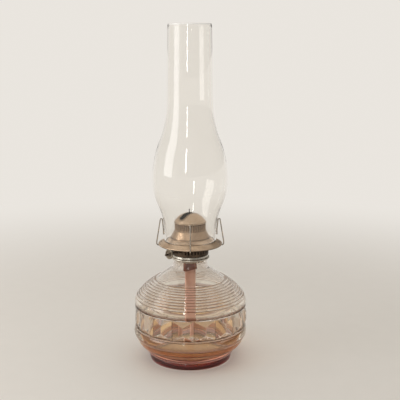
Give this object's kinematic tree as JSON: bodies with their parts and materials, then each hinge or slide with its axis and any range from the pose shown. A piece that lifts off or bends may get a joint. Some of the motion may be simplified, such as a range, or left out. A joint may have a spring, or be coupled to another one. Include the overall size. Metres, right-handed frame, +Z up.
{
  "type": "oil lamp",
  "caption": "Table oil lamp: ribbed pressed glass font with a band of facet blocks, screw-in flat wick burner with thumbwheel, sprung chimney gallery and tall glass chimney.",
  "frame": {"origin": "middle of the foot on the table", "axes": "+Z up along the lamp's axis; X along the wick's width and the raiser spindle, thumbwheel on the -X side"},
  "size_m": [0.1464, 0.1464, 0.4288],
  "materials": {
    "font_glass": "clear pressed glass, faint warm cast",
    "chimney_glass": "clear blown glass",
    "collar_metal": "silvery plated, worn",
    "collar_cement": "plaster",
    "dark_brass": "dark tarnish",
    "aged_brass": "dull",
    "gallery_brass": "satin, aged",
    "spring_wire": "tarnished wire",
    "cotton_wick": "woven cotton, stained by oil"
  },
  "bodies": {
    "font": {"font_glass": "font_glass", "neck_collar": "collar_metal", "collar_cement": "collar_cement"},
    "ferrule": {"thread_ferrule": "dark_brass"},
    "burner": {"burner_cup": "dark_brass", "air_diffuser": "dark_brass", "wick_tube": "aged_brass", "vapour_vent": "aged_brass", "raiser_bracket": "aged_brass", "spindle_bush": "aged_brass"},
    "raiser": {"raiser_spindle": "dark_brass", "thumbwheel": "dark_brass", "spur_wheel_1": "aged_brass", "spur_wheel_2": "aged_brass", "spur_wheel_3": "aged_brass", "spur_wheel_4": "aged_brass"},
    "wick": {"wick": "cotton_wick"},
    "gallery": {"gallery_ring": "gallery_brass", "flame_deflector": "gallery_brass"},
    "spring_prong_1": {"prong_1": "spring_wire"},
    "spring_prong_2": {"prong_2": "spring_wire"},
    "spring_prong_3": {"prong_3": "spring_wire"},
    "spring_prong_4": {"prong_4": "spring_wire"},
    "chimney": {"chimney_glass": "chimney_glass"}
  },
  "joints": [
    {"name": "burner_rise", "type": "slide", "parent": "font", "child": "ferrule", "axis": [0, 0, 1], "range_m": [0, 0.0055]},
    {"name": "burner_turn", "type": "hinge", "parent": "ferrule", "child": "burner", "pos_m": [0, 0, 0.1393], "axis": [0, 0, 1], "range_deg": [0, 990]},
    {"name": "wick_knob", "type": "hinge", "parent": "burner", "child": "raiser", "pos_m": [0, -0.0055, 0.1468], "axis": [1, 0, 0], "range_deg": [-141, 170]},
    {"name": "wick_feed", "type": "slide", "parent": "burner", "child": "wick", "axis": [0, 0, 1], "range_m": [-0.0098, 0.0118]},
    {"name": "gallery_lift", "type": "slide", "parent": "burner", "child": "gallery", "axis": [0, 0, 1], "range_m": [0, 0.038]},
    {"name": "prong_1_flex", "type": "hinge", "parent": "gallery", "child": "spring_prong_1", "pos_m": [0.02645, 0.02645, 0.1543], "axis": [-0.7071, 0.7071, 0], "range_deg": [0, 5], "stiffness_Nm_per_rad": 0.3},
    {"name": "prong_2_flex", "type": "hinge", "parent": "gallery", "child": "spring_prong_2", "pos_m": [-0.02645, 0.02645, 0.1543], "axis": [-0.7071, -0.7071, 0], "range_deg": [0, 5], "stiffness_Nm_per_rad": 0.3},
    {"name": "prong_3_flex", "type": "hinge", "parent": "gallery", "child": "spring_prong_3", "pos_m": [-0.02645, -0.02645, 0.1543], "axis": [0.7071, -0.7071, 0], "range_deg": [0, 5], "stiffness_Nm_per_rad": 0.3},
    {"name": "prong_4_flex", "type": "hinge", "parent": "gallery", "child": "spring_prong_4", "pos_m": [0.02645, -0.02645, 0.1543], "axis": [0.7071, 0.7071, 0], "range_deg": [0, 5], "stiffness_Nm_per_rad": 0.3},
    {"name": "chimney_lift", "type": "slide", "parent": "gallery", "child": "chimney", "axis": [0, 0, 1], "range_m": [0, 0.03]}
  ],
  "couplings": [
    {"joint": "burner_rise", "follows": "burner_turn", "m_per_rad": 0.00031831},
    {"joint": "wick_knob", "follows": "wick_feed", "rad_per_m": 250}
  ]
}
